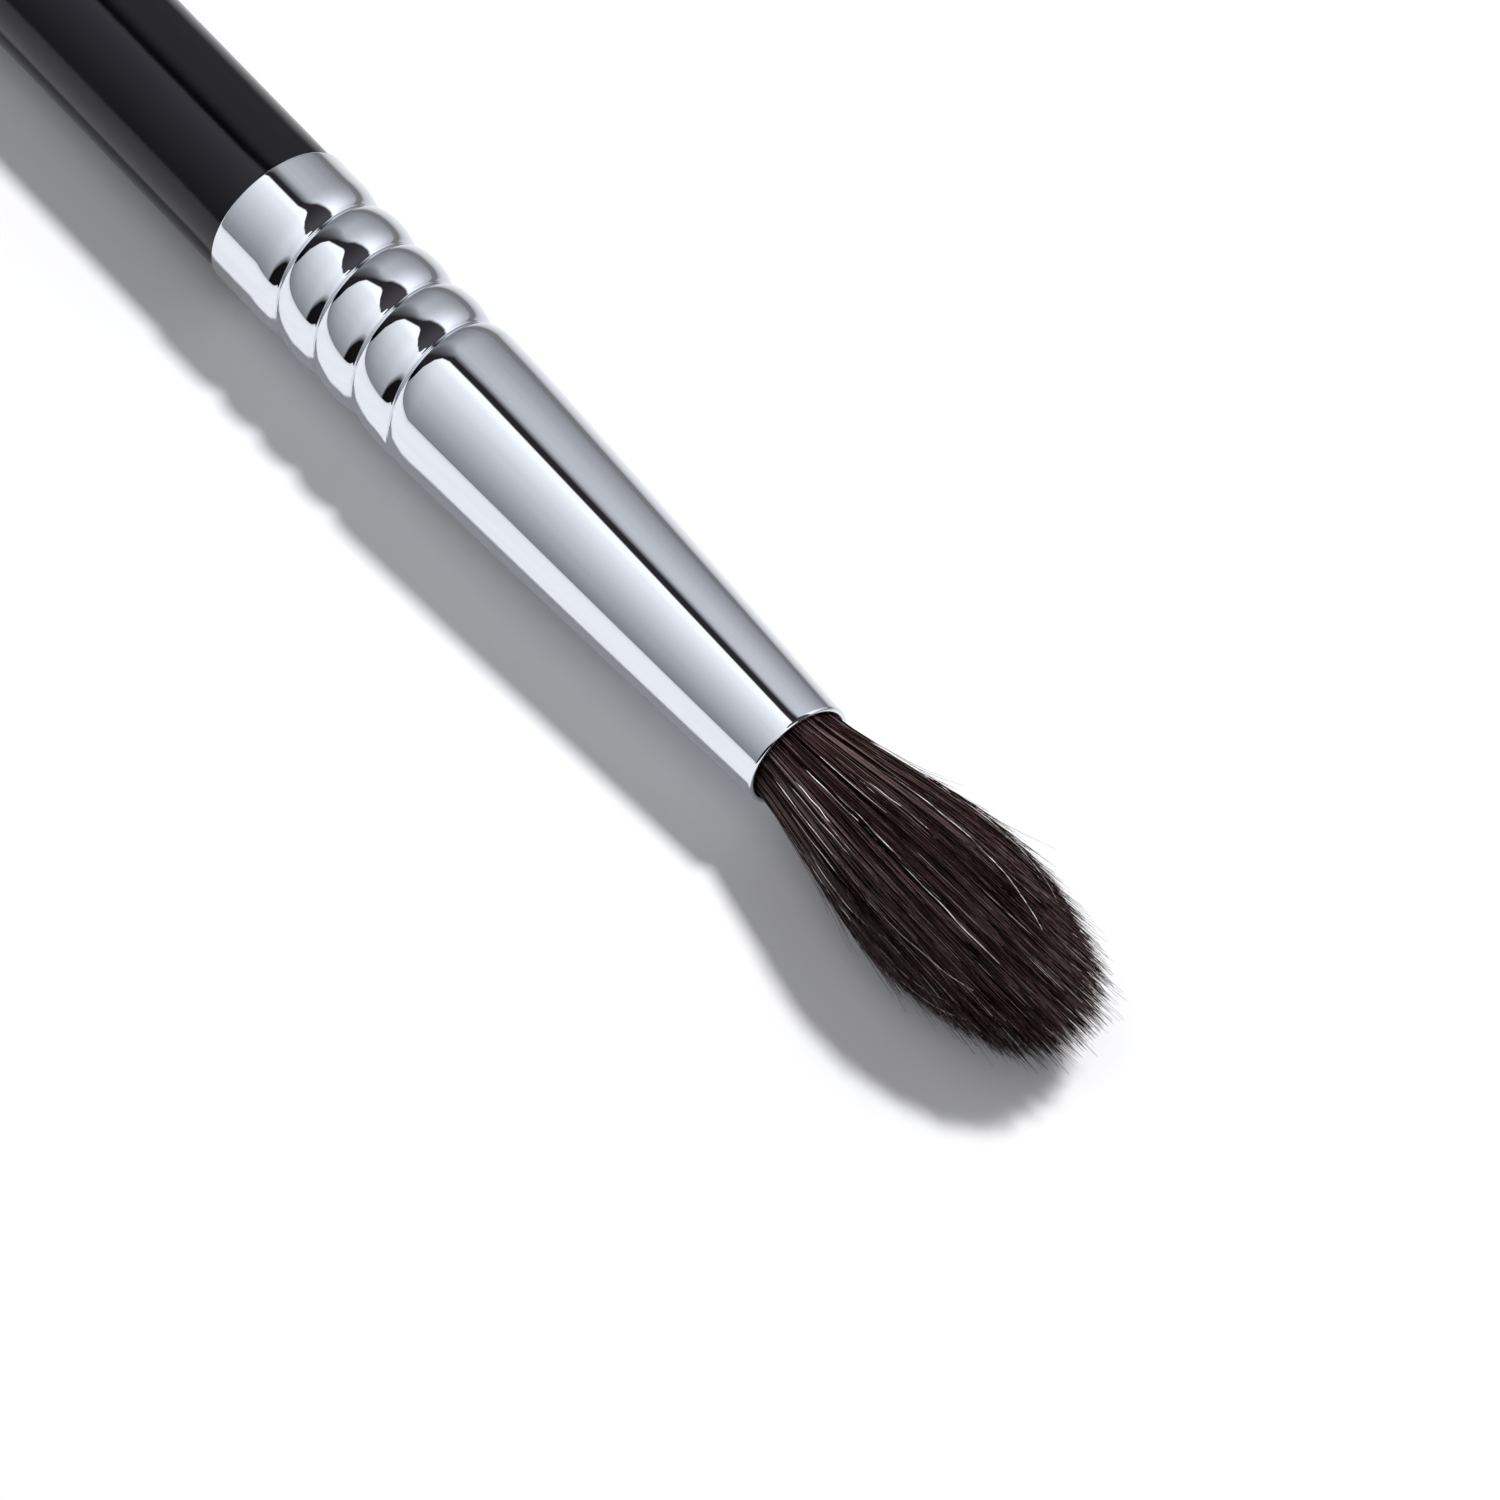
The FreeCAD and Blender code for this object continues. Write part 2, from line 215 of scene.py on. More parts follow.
def lacquerMaterial():
    # Black gloss, a little uneven in tint and roughness, with the orange peel as a faint bump
    look = lacquerLook
    material, tree, shader = newMaterial("black_lacquer")
    place = addNode(tree, "ShaderNodeTexCoord")
    mottle = addNode(tree, "ShaderNodeTexNoise", {"Scale": look["mottle"], "Detail": 4.0})
    tint = addNode(tree, "ShaderNodeValToRGB")
    setRamp(tint, [(0.35, look["dark"]), (0.65, look["light"])])
    smooth, rough = look["roughness"]
    dull = addNode(tree, "ShaderNodeMapRange", {"To Min": smooth, "To Max": rough})
    peel = addNode(tree, "ShaderNodeTexNoise", {"Scale": look["peel"], "Detail": 1.0})
    bump = addNode(tree, "ShaderNodeBump", {"Strength": look["peelDepth"], "Distance": 0.0001})
    tree.links.new(place.outputs["Object"], mottle.inputs["Vector"])
    tree.links.new(place.outputs["Object"], peel.inputs["Vector"])
    tree.links.new(mottle.outputs["Fac"], tint.inputs["Fac"])
    tree.links.new(mottle.outputs["Fac"], dull.inputs["Value"])
    tree.links.new(peel.outputs["Fac"], bump.inputs["Height"])
    tree.links.new(tint.outputs["Color"], shader.inputs["Base Color"])
    tree.links.new(dull.outputs["Result"], shader.inputs["Roughness"])
    tree.links.new(bump.outputs["Normal"], shader.inputs["Normal"])
    shader.inputs["IOR"].default_value = look["ior"]
    shader.inputs["Specular Tint"].default_value = (*look["sheen"], 1)
    return material


chromeLook = {
    "bright": (0.80, 0.825, 0.87),
    "dim": (0.77, 0.795, 0.845),
    "roughness": (0.025, 0.05),
    "polish": (60, 2600),     # faint polishing marks: per metre along the brush and round it
}


def chromeMaterial():
    # Mirror metal. A noise drawn out along the brush varies its tint and roughness very slightly.
    look = chromeLook
    material, tree, shader = newMaterial("bright_chrome")
    place = addNode(tree, "ShaderNodeTexCoord")
    stretch = addNode(tree, "ShaderNodeMapping")
    stretch.inputs["Scale"].default_value = (look["polish"][0], look["polish"][1], look["polish"][1])
    marks = addNode(tree, "ShaderNodeTexNoise", {"Scale": 1.0, "Detail": 3.0})
    tint = addNode(tree, "ShaderNodeValToRGB")
    setRamp(tint, [(0.30, look["dim"]), (0.60, look["bright"])])
    smooth, rough = look["roughness"]
    dull = addNode(tree, "ShaderNodeMapRange", {"To Min": smooth, "To Max": rough})
    tree.links.new(place.outputs["Object"], stretch.inputs["Vector"])
    tree.links.new(stretch.outputs["Vector"], marks.inputs["Vector"])
    tree.links.new(marks.outputs["Fac"], tint.inputs["Fac"])
    tree.links.new(marks.outputs["Fac"], dull.inputs["Value"])
    tree.links.new(tint.outputs["Color"], shader.inputs["Base Color"])
    tree.links.new(dull.outputs["Result"], shader.inputs["Roughness"])
    shader.inputs["Metallic"].default_value = 1.0
    return material


hairLook = {
    # root: painted shade, the near-black of each filament in and just past the mouth
    "root": (0.006, 0.0028, 0.0028),
    "dark": (0.34, (0.0030, 0.0009, 0.0010)),     # these four with the tone that each belongs to
    "brown": (0.60, (0.062, 0.0275, 0.026)),
    "warm": (0.87, (0.21, 0.142, 0.138)),
    # light: painted highlight, the near-white of the filaments that stand in for glints on the hair
    "light": (0.90, (0.90, 0.88, 0.88)),
    "rise": (0.11, 0.25),     # shares of its length over which a filament climbs out of the painted mouth shade into its tone
    "sheen": 0.22,            # the filaments' middle sheen, where an export keeps no single ones
    "roughness": 0.32,
    "ior": 1.55,
}


def hairMaterial():
    # Each filament carries its own tone from 0 to 1, where the few at the top end are painted highlights, and
    # a sheen that comes and goes along it. Both are painted down into shade where it leaves the mouth: the
    # colour grows from the near-black root tint and the sheen from nothing, a painted shade for the dark of
    # the mouth.
    look = hairLook
    material, tree, shader = newMaterial("dark_hair")
    tone = addNode(tree, "ShaderNodeAttribute", attribute_name="tone")
    sheen = addNode(tree, "ShaderNodeAttribute", attribute_name="sheen")
    length = addNode(tree, "ShaderNodeAttribute", attribute_name="length")
    tint = addNode(tree, "ShaderNodeValToRGB")
    setRamp(tint, [look["dark"], look["brown"], look["warm"], look["light"]])
    depth = between(tree, length.outputs["Fac"], *look["rise"])
    mix = addNode(tree, "ShaderNodeMix", data_type="RGBA")
    mix.inputs["A"].default_value = (*look["root"], 1)
    tree.links.new(tone.outputs["Fac"], tint.inputs["Fac"])
    tree.links.new(depth, mix.inputs["Factor"])
    tree.links.new(tint.outputs["Color"], mix.inputs["B"])
    tree.links.new(mix.outputs["Result"], shader.inputs["Base Color"])
    tree.links.new(calc(tree, "MULTIPLY", sheen.outputs["Fac"], depth), shader.inputs["Specular IOR Level"])
    shader.inputs["Specular IOR Level"].default_value = look["sheen"]
    shader.inputs["Roughness"].default_value = look["roughness"]
    shader.inputs["IOR"].default_value = look["ior"]
    return material


resinLook = {
    "dark": (0.42, 0.27, 0.09),
    "light": (0.60, 0.42, 0.18),
    "cloud": 700,             # noise per metre
    "roughness": 0.15,
}
glueLook = {
    "dark": (0.62, 0.56, 0.42),
    "light": (0.74, 0.69, 0.56),
    "cloud": 900,
    "roughness": 0.45,
}
threadLook = {
    "dark": (0.50, 0.46, 0.38),
    "light": (0.70, 0.66, 0.57),
    "cloud": 4000,
    "roughness": 0.6,
}


def cloudedMaterial(name, look):
    # Resin, glue or waxed thread: two tints clouded by a noise on Object coordinates
    material, tree, shader = newMaterial(name)
    place = addNode(tree, "ShaderNodeTexCoord")
    cloud = addNode(tree, "ShaderNodeTexNoise", {"Scale": look["cloud"], "Detail": 3.0})
    tint = addNode(tree, "ShaderNodeValToRGB")
    setRamp(tint, [(0.3, look["dark"]), (0.7, look["light"])])
    tree.links.new(place.outputs["Object"], cloud.inputs["Vector"])
    tree.links.new(cloud.outputs["Fac"], tint.inputs["Fac"])
    tree.links.new(tint.outputs["Color"], shader.inputs["Base Color"])
    shader.inputs["Roughness"].default_value = look["roughness"]
    return material


lacquer = lacquerMaterial()
chrome = chromeMaterial()
hair = hairMaterial()
resin = cloudedMaterial("amber_resin", resinLook)
glue = cloudedMaterial("set_glue", glueLook)
waxedThread = cloudedMaterial("waxed_thread", threadLook)
print("materials made")


# Handle

handleShape = {
    "gripRadius": 3.84 * mm,
    "gripLength": 22 * mm,
    "sweepLength": 30 * mm,
    "tailRadius": 2.1 * mm,
    "edgeRound": 0.14 * mm,
    "seatRadius": 3.57 * mm,
    "seatLength": 1.816 * mm,
    "spigotRadius": 3.15 * mm,
    "spigotChamfer": 0.6 * mm,
    "sides": 192,
}


def handleProfile(shape):
    # Round tail, straight taper, one tangent arc up to the level grip, then the stepped spigot. The
    # taper's tangent is narrowing / run, where the run goes from the tail's centre to the arc's middle.
    tailEnd = handleLow.x
    spigotEnd = handleHigh.x
    gripBack = backEdge - shape["gripLength"]
    sweepBack = gripBack - shape["sweepLength"]
    narrow = shape["gripRadius"] - shape["tailRadius"]
    run = sweepBack + shape["sweepLength"] / 2 - tailEnd - shape["tailRadius"]
    lean = math.atan(narrow / run)
    sweepRadius = shape["sweepLength"] / math.sin(lean)
    tailCentre = (tailEnd + shape["tailRadius"], 0)
    tail = arc(tailCentre, shape["tailRadius"], 180, 90 + math.degrees(lean), 24)
    sweep = arc((gripBack, shape["gripRadius"] - sweepRadius), sweepRadius, 90 + math.degrees(lean), 90, 30)
    taper = straight((tail[0][-1], tail[1][-1]), (sweep[0][0], sweep[1][0]), 26)
    edge = shape["edgeRound"]
    corner = arc((backEdge - edge, shape["gripRadius"] - edge), edge, 90, 0, 10)
    grip = straight((gripBack, shape["gripRadius"]), (backEdge - edge, shape["gripRadius"]), 14)
    seatEnd = backEdge + shape["seatLength"]
    step = shape["seatRadius"] - shape["spigotRadius"]
    chamfer = shape["spigotChamfer"]
    spigot = (
        np.array([backEdge, seatEnd, seatEnd + step, spigotEnd - chamfer, spigotEnd, spigotEnd]),
        np.array([shape["seatRadius"], shape["seatRadius"], shape["spigotRadius"], shape["spigotRadius"],
                  shape["spigotRadius"] - chamfer, 0]),
    )
    tail[1][0] = 0
    return joined(tail, (taper[0][1:-1], taper[1][1:-1]), sweep, (grip[0][1:-1], grip[1][1:-1]),
                  corner, spigot)


handle = turnedRod("lacquered_handle", *handleProfile(handleShape), handleShape["sides"], lacquer)
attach(handle, "root")
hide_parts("handle")
print("handle turned")


# Ferrule

ferruleShape = {
    "radius": 4.0 * mm,
    "wall": 0.35 * mm,
    "edgeRound": 0.10 * mm,
    "grooveStart": 3.016 * mm,     # from the back edge to where the groove reaches its full depth
    "grooveBearing": -115.0,       # degrees from the top, towards the front, of that place
    "groovePitch": 2.95 * mm,
    "grooveTurns": 3.5,
    "runOut": 0.15,                # turns in which it fades at each end
    "ridgeRise": 0.52 * mm,
    "ridgeTurn": 70.0,             # degrees of the ellipse from a crest down to the groove's round bottom
    "boreRidge": 0.45 * mm,        # how far the groove stands into the bore
    "taperStart": 14.8 * mm,
    "taperBlend": 0.8 * mm,
    "taperCrown": 0.05 * mm,
    "mouthRadius": 2.85 * mm,
    "sides": 256,
}
ferruleLength = mouth - backEdge


def plainRadius(x, shape):
    # Outside without the groove, by distance from the back edge: level, a parabola tangent to both its
    # neighbours, and a taper with a slight crown of 4 * crown * share * (1 - share)
    past, blend = x - shape["taperStart"], shape["taperBlend"]
    run = np.where(past > blend, past, np.maximum(past + blend, 0)**2 / (4 * blend))
    share = run / (ferruleLength - shape["taperStart"])
    narrowing = shape["radius"] - shape["mouthRadius"]
    return shape["radius"] - narrowing * share + 4 * shape["taperCrown"] * share * (1 - share)


def ridgeRows(shape):
    # One pitch from crest to crest, as shares of it, and the fall below the crest: an ellipse with
    # place = sin(a) / 2 and fall = rise * (1 - cos(a)), a parabola tangent to it and level at the bottom,
    # and both turned round
    turn = np.radians(np.linspace(0, shape["ridgeTurn"], 22))
    place = np.sin(turn) / 2
    fall = shape["ridgeRise"] * (1 - np.cos(turn))
    slope = 2 * shape["ridgeRise"] * np.tan(turn[-1])
    left = 0.5 - place[-1]
    share = np.linspace(0, 1, 4)[1:]
    place = np.append(place, place[-1] + left * share)
    fall = np.append(fall, fall[-1] + slope * left * (share - share**2 / 2))
    return np.concatenate([place, 1 - place[-2:0:-1]]), np.concatenate([fall, fall[-2:0:-1]])


def fadeIn(turns, shape):
    # A smooth rise from 0 to 1 over the run-out: share squared * (3 - 2 * share)
    share = np.clip(turns / shape["runOut"], 0, 1)
    return share**2 * (3 - 2 * share)


def spiralStrip(shape):
    # A strip wound round the tube, one band of rows to a turn: x = start + pitch * (row + column), both
    # in turns, and out = plain radius - fall * fade, where the fade is by the turns along the groove
    places, falls = ridgeRows(shape)
    turns = shape["grooveTurns"] + 2 * shape["runOut"]
    bands = math.ceil(turns)
    row = np.append((np.arange(bands)[:, None] + places).ravel(), bands)
    fall = np.append(np.tile(falls, bands), 0.0)
    column = np.linspace(0, 1, shape["sides"], endpoint=False)
    begun = np.append(np.repeat(np.arange(bands), len(places)), bands - 1)[:, None] + column
    fade = fadeIn(begun, shape) * fadeIn(turns - begun, shape)
    start = shape["grooveStart"] - (shape["runOut"] + 0.5) * shape["groovePitch"]
    x = start + shape["groovePitch"] * (row[:, None] + column)
    return x, plainRadius(x, shape) - fall[:, None] * fade, len(places)


def ferruleRings(shape, stripStart, stripEnd):
    # The rest in one run: taper, lip, back along the bore one wall inside, round the back edge, collar
    wall, edge = shape["wall"], shape["edgeRound"]
    lip = wall / 2
    lipX = ferruleLength - lip
    taperX = np.linspace(stripEnd, lipX, 40)
    lipTurn = arc((lipX, plainRadius(lipX, shape) - lip), lip, 90, -90, 20)
    ridgeBack, ridgeFront, rise = shape["grooveStart"] - 2 * wall, shape["taperStart"] + wall, wall
    ridgeX = np.array([ridgeFront, ridgeFront - rise, ridgeBack + rise, ridgeBack])
    boreX = np.concatenate([taperX[-2::-4], ridgeX, [0.0]])
    ridge = np.interp(boreX, ridgeX[::-1], [0, shape["boreRidge"], shape["boreRidge"], 0])
    corner = arc((edge, shape["radius"] - edge), edge, 180, 90, 8)
    collarX = np.linspace(edge, stripStart, 5)[1:]
    return joined((taperX, plainRadius(taperX, shape)), (lipTurn[0][1:], lipTurn[1][1:]),
                  (boreX, plainRadius(boreX, shape) - wall - ridge), corner,
                  (collarX, plainRadius(collarX, shape)))


def rolledFerrule(shape, material):
    # The strip and the rings in one closed surface. Where the strip begins and ends it steps by a whole
    # pitch in one column, and a fan of triangles fills that step.
    sides = shape["sides"]
    first = math.radians(shape["grooveBearing"] - 360 * shape["runOut"] + 90)
    x, out, step = spiralStrip(shape)
    margin = 0.2 * mm
    ringX, ringOut = ferruleRings(shape, x.min() - margin, x.max() + margin)
    strip = np.arange(x.size).reshape(x.shape)
    rings = x.size + np.arange(len(ringX) * sides).reshape(-1, sides)
    taper, collar = rings[0], rings[-1]

    def band(lower, upper):
        return np.stack([lower[:-1], lower[1:], upper[1:], upper[:-1]], axis=-1)

    def fan(middle, rim):
        return np.stack([np.full(len(rim) - 1, middle), rim[:-1], rim[1:]], axis=-1)

    quads = np.concatenate([stripQuads(*x.shape, step), x.size + gridQuads(*rings.shape),
                            band(collar, strip[0]), band(strip[-1], taper)])
    startRim = np.concatenate([collar[[-1, 0]], strip[:step + 1, 0]])
    endRim = np.concatenate([taper[[0, -1]], strip[:-step - 2:-1, -1]])
    triangles = np.concatenate([fan(strip[0, -1], startRim), fan(strip[-1, 0], endRim)])
    points = np.concatenate([turnedPoints(backEdge + x, out, sides, first).reshape(-1, 3),
                             turnedPoints(backEdge + ringX, ringOut, sides, first).reshape(-1, 3)])
    return putMesh("chrome_ferrule", points, quads, triangles, material)


ferrule = rolledFerrule(ferruleShape, chrome)
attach(ferrule, "root")
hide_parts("ferrule")
print("ferrule rolled:", len(ferrule.data.polygons), "faces")


# Tuft

tuftShape = {
    "rootRadius": 2.45 * mm,
    "flareLength": 6.3 * mm,
    "swellLength": 5.0 * mm,
    "noseLength": 8.2 * mm,
    "bellyRadius": 4.08 * mm,
    "tipRadius": 3.25 * mm,
    "lean": (0.020, 0.009),   # the bundle leans a little to the back and up, per length
    "rootDepth": 2.0 * mm,    # how far inside the mouth the filaments begin
    # each layer's name, the shares of the radius it lies between, its count and its thickness
    "layers": [("hair_heart", 0.0, 0.60, 2400, 0.031 * mm), ("hair_middle", 0.60, 0.84, 3000, 0.029 * mm),
               ("hair_upper", 0.84, 0.95, 3400, 0.025 * mm), ("hair_outer", 0.95, 1.0, 3600, 0.021 * mm)],
    "tipThickness": 0.22,     # share of a filament's thickness that is left at its tip
    "thicknesses": (0.75, 1.2),    # least and most share of a layer's thickness
    "segments": 8,
    "clumps": 1300,
    "clumpPull": 0.32,
    "wave": 0.04 * mm,
    "beats": (0.4, 1.3),      # waves in a filament's length
    "tips": (-0.30 * mm, 0.60 * mm),   # where the tips end past the outline, and how unevenly
    "ragged": 6.0 * mm,       # how much shorter the shortest of the outer ones are
    "flyaway": 0.16 * mm,     # how far tips stray outwards
    "lowest": 0.04 * mm,      # filaments that would go under the resting plane lie on it
    "tones": (0.425, 0.23, 0.27),  # middle, spread between filaments and between clumps
    "pale": (0.013, 0.872, 0.90),  # share of the filaments that are near-white painted highlights, and their tones
    "sheen": (0.0, 1.3, 5),        # least, most, and how rare the bright ones are
    "glints": (0.5, 2.5),          # how often the sheen comes and goes along a filament
    "glintDepth": 0.4,             # and by how much
    "seed": 31,
}


def tuftRadius(x, shape):
    # Outline by distance from the mouth: a straight flare, an arc tangent to it and level at the belly,
    # a longer arc over the nose, and a round tip with its centre on the axis
    root, belly, tip = shape["rootRadius"], shape["bellyRadius"], shape["tipRadius"]
    flare, swell, nose = shape["flareLength"], shape["swellLength"], shape["noseLength"]
    slope = (belly - root) / (flare + swell / 2)
    swellRadius = swell / slope
    middle = flare + swell
    ahead = nose - tip
    noseRadius = (ahead**2 + belly**2 - tip**2) / (2 * (belly - tip))
    meet = middle + ahead * (1 + tip / (noseRadius - tip))
    onFlare = root + slope * x
    onSwell = belly - swellRadius + np.sqrt(np.maximum(swellRadius**2 - (x - middle)**2, 0))
    onNose = belly - noseRadius + np.sqrt(np.maximum(noseRadius**2 - (x - middle)**2, 0))
    onTip = np.sqrt(np.maximum(tip**2 - (x - middle - ahead)**2, 0))
    return np.select([x < flare, x < middle, x < meet], [onFlare, onSwell, onNose], onTip)


def bundleRadius(x, shape):
    # The bundle's own spread, which the filaments follow: the outline as far as the belly, then level
    return tuftRadius(np.minimum(x, shape["flareLength"] + shape["swellLength"]), shape)


def tipPlaces(share, shape):
    # Where a filament at this share of the radius comes out through the rounded nose
    middle = shape["flareLength"] + shape["swellLength"]
    x = np.linspace(middle, middle + shape["noseLength"], 400)
    reached = tuftRadius(x, shape) / bundleRadius(x, shape)
    return np.interp(-share, -reached, x)


def clumped(rng, spots, shape):
    # The clump that each spot of the cross section belongs to: the nearest of some scattered middles
    turn = rng.uniform(0, 2 * np.pi, shape["clumps"])
    share = np.sqrt(rng.uniform(0, 1, shape["clumps"]))
    middles = np.stack([share * np.cos(turn), share * np.sin(turn)], axis=-1)
    apart = ((spots[:, None, :] - middles[None, :, :])**2).sum(-1)
    nearest = apart.argmin(1)
    return middles[nearest], nearest


def filamentPaths(rng, spots, tips, shape):
    # Each filament keeps its spot of the cross section while the bundle widens. Along it, it is drawn
    # towards its clump's middle by the 1.5th power of the way, wanders on slow sine waves by the 0.7th,
    # and strays outwards by the 4th.
    count = len(spots)
    steps = np.linspace(0, 1, shape["segments"] + 1)
    x = -shape["rootDepth"] + (tips[:, None] + shape["rootDepth"]) * steps
    towards, clump = clumped(np.random.default_rng(shape["seed"]), spots, shape)
    pull = shape["clumpPull"] * steps**1.5
    cross = spots[:, None, :] + (towards - spots)[:, None, :] * pull[None, :, None]
    yz = cross * bundleRadius(np.maximum(x, 0), shape)[:, :, None]
    phase = rng.uniform(0, 2 * np.pi, (count, 2))
    beat = rng.uniform(*shape["beats"], (count, 2))
    size = shape["wave"] * rng.normal(0, 1, (count, 2))
    sway = size[:, None, :] * np.sin(phase[:, None, :] + 2 * np.pi * beat[:, None, :] * steps[None, :, None])
    stray = shape["flyaway"] * rng.exponential(1.0, count)
    outward = spots / np.maximum(np.linalg.norm(spots, axis=1, keepdims=True), 0.2)
    yz = yz + (sway - sway[:, :1, :]) * (steps**0.7)[None, :, None]
    yz = yz + outward[:, None, :] * (stray[:, None] * steps[None, :]**4)[:, :, None]
    yz = yz + np.array(shape["lean"]) * np.maximum(x, 0)[:, :, None]
    y, z = yz[:, :, 0], np.maximum(yz[:, :, 1] + axisHeight, shape["lowest"])
    return np.stack([x + mouth, y, z], axis=-1), clump


def filamentMesh(name, paths, thickness, tipShare, tones, sheen, material):
    # A three-sided tube along each path: the point plus radius * (cos a * side + sin a * up), where side
    # and up stand square to the path, tapering to the tip and closed at both ends
    count, stops = paths.shape[:2]
    direction = np.gradient(paths, axis=1)
    direction /= np.linalg.norm(direction, axis=-1, keepdims=True)
    side = np.cross(direction, [0, 0, 1])
    side /= np.linalg.norm(side, axis=-1, keepdims=True)
    up = np.cross(side, direction)
    angle = np.arange(3) * 2 * np.pi / 3
    steps = np.linspace(0, 1, stops)
    radius = thickness[:, None] * (1 - (1 - tipShare) * steps**2)
    ring = np.cos(angle)[:, None] * side[:, :, None, :] + np.sin(angle)[:, None] * up[:, :, None, :]
    points = paths[:, :, None, :] + radius[:, :, None, None] * ring
    base = (np.arange(count) * stops * 3)[:, None]
    quads = (gridQuads(stops, 3)[None] + base[:, :, None]).reshape(-1, 4)
    ends = np.array([[0, 2, 1], [stops * 3 - 3, stops * 3 - 2, stops * 3 - 1]])
    caps = (ends[None] + base[:, :, None]).reshape(-1, 3)
    piece = putMesh(name, points.reshape(-1, 3), quads, caps, material)
    marks = {"tone": np.repeat(tones, stops * 3), "sheen": np.repeat(sheen.ravel(), 3),
             "length": np.tile(np.repeat(steps, 3), count)}
    for key, values in marks.items():
        mark = piece.data.attributes.new(key, "FLOAT", "POINT")
        mark.data.foreach_set("value", values.astype(np.float32))
    return piece


def growLayer(name, inner, outer, count, thickness, shape, seed):
    # Filaments spread evenly over a ring of the cross section, each with its own tone and sheen. They end
    # at the rounded nose, and short of it by ragged * share^4 * chance^3.
    rng = np.random.default_rng(seed)
    share = np.sqrt(rng.uniform(inner**2, outer**2, count))
    turn = rng.uniform(0, 2 * np.pi, count)
    spots = np.stack([share * np.cos(turn), share * np.sin(turn)], axis=-1)
    short = shape["ragged"] * share**4 * rng.uniform(0, 1, count)**3
    tips = tipPlaces(share, shape) + rng.normal(*shape["tips"], count) - short
    paths, clump = filamentPaths(rng, spots, tips, shape)
    middle, spread, clumpSpread = shape["tones"]
    clumpTone = np.random.default_rng(shape["seed"] + 1).uniform(-clumpSpread, clumpSpread, shape["clumps"])
    tones = np.clip(rng.normal(middle, spread, count) + clumpTone[clump], 0, hairLook["warm"][0])
    # Some filaments get near-white tones: painted highlights that stand in for glints on the hair
    paintedGlintShare, paintedGlintLeast, paintedGlintMost = shape["pale"]
    pale = rng.uniform(0, 1, count) < paintedGlintShare
    tones = np.where(pale, rng.uniform(paintedGlintLeast, paintedGlintMost, count), tones)
    least, most, rarity = shape["sheen"]
    gloss = least + (most - least) * rng.uniform(0, 1, count)**rarity
    along = np.linspace(0, 1, paths.shape[1])
    turns = rng.uniform(0, 1, (count, 1)) + rng.uniform(*shape["glints"], (count, 1)) * along
    depth = shape["glintDepth"]
    sheen = gloss[:, None] * (1 - depth + depth * np.sin(2 * np.pi * turns))
    thicknesses = thickness * rng.uniform(*shape["thicknesses"], count)
    return filamentMesh(name, paths, thicknesses, shape["tipThickness"], tones, sheen, hair)


layers = []
for n, layer in enumerate(tuftShape["layers"]):
    layers.append(growLayer(*layer, tuftShape, tuftShape["seed"] + 10 + n))

# Near-white filaments over the outside of the tuft: painted highlights that stand in for glints on the hair
paintedGlintShape = {
    "count": 44,
    "starts": (-0.5 * mm, 9.5 * mm),
    "lengths": (4 * mm, 9 * mm),
    "thickness": 0.030 * mm,
    "tipThickness": 0.7,
    "stops": 25,
    "heights": (0.995, 1.02),   # of its middle, as shares of the outline
    "drift": 0.04,            # radians a filament crosses the others by
    "kinks": (0.010, 0.005),  # radians of its slow and of its quick bends
    "bends": (6, 19),         # how far each of those two waves runs along it, in radians
    "tones": (0.876, 0.925),
    "sheen": 0.4,
    "sink": 0.07,             # share of the radius that its ends dive by
    "seed": 77,
}


def growPaintedGlints(shape, light):
    # A few near-white filaments lie in the outside of the bundle: painted highlights that stand in for glints
    # on the hair. Each crosses its neighbours at a small angle, with kinks of two sine waves, and both its
    # ends dive under them by the fourth power of the distance from its middle
    rng = np.random.default_rng(light["seed"])
    count = light["count"]
    steps = np.linspace(0, 1, light["stops"])
    start = rng.uniform(*light["starts"], count)
    length = rng.uniform(*light["lengths"], count)
    x = start[:, None] + length[:, None] * steps
    phase = rng.uniform(0, 2 * np.pi, (2, count, 1))
    slow, quick = light["kinks"]
    slowBend, quickBend = light["bends"]
    kinks = slow * np.sin(phase[0] + slowBend * steps) + quick * np.sin(phase[1] + quickBend * steps)
    drift = light["drift"] * rng.normal(0, 1, (count, 1)) * (steps - 0.5)
    turn = rng.uniform(0, 2 * np.pi, (count, 1)) + drift + kinks
    share = rng.uniform(*light["heights"], (count, 1)) - light["sink"] * (2 * steps - 1)**4
    out = share * tuftRadius(np.maximum(x, 0), shape)
    past = np.maximum(x, 0)
    y = out * np.cos(turn) + shape["lean"][0] * past
    z = np.maximum(out * np.sin(turn) + shape["lean"][1] * past + axisHeight, shape["lowest"])
    paths = np.stack([x + mouth, y, z], axis=-1)
    tones = rng.uniform(*light["tones"], count)
    sheen = np.full((count, len(steps)), light["sheen"])
    thicknesses = np.full(count, light["thickness"])
    return filamentMesh("hair_painted_glints", paths, thicknesses, light["tipThickness"], tones, sheen, hair)


layers.append(growPaintedGlints(tuftShape, paintedGlintShape))
for layer in layers:
    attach(layer, "root")
    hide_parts("hair_tuft")
print("tuft grown:", sum(len(layer.data.polygons) for layer in layers), "faces")


# Thread round the roots

tieShape = {
    "turns": 8,
    "threadRadius": 0.15 * mm,
    "drawn": 0.98,            # share of that radius that is drawn, so that the turns stay apart
    "waistRadius": 2.25 * mm,
    "stepsEachTurn": 40,
    "sides": 10,
}


